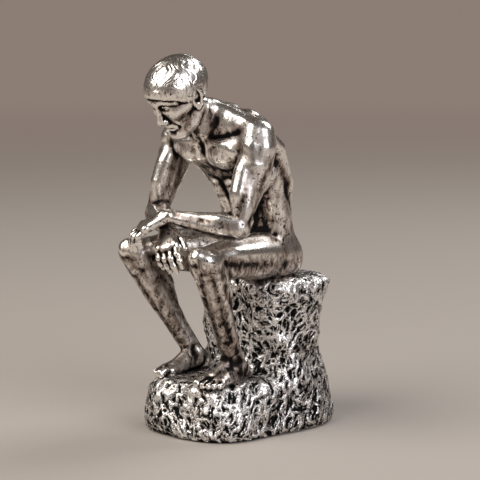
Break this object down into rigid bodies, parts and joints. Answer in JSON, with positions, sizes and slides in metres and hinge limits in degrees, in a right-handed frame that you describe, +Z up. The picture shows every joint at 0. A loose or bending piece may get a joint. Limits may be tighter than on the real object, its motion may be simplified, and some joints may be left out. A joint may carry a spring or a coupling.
{
  "type": "seated figure statuette",
  "caption": "Antique-silver cast-resin statuette of a seated figure in thought on a rough rock, in pinned castings, with a felt pad to stand on.",
  "frame": {"origin": "middle of the underside of the felt pad, on the surface that the statuette stands on", "axes": "+Z up; the figure faces -Y and its left side is +X"},
  "size_m": [0.13, 0.1701, 0.3018],
  "materials": {
    "silvered_resin": "cold-cast resin with rubbed antique-silver plating over a black patina",
    "hardboard": "bare hardboard",
    "felt": "black wool felt",
    "plaster": "cast plaster",
    "steel": "zinc-plated steel"
  },
  "bodies": {
    "root": {"rock_base": "silvered_resin", "torso": "silvered_resin", "head": "silvered_resin", "left_leg": "silvered_resin", "right_leg": "silvered_resin", "left_arm": "silvered_resin", "right_arm": "silvered_resin", "left_hand": "silvered_resin", "right_hand": "silvered_resin", "bottom_plate": "hardboard", "felt_pad": "felt", "ballast": "plaster", "seat_washer": "steel", "seat_screw": "steel", "neck_pin": "steel", "shoulder_pins": "steel", "hip_pins": "steel", "wrist_pins": "steel", "foot_pins": "steel"}
  },
  "joints": []
}
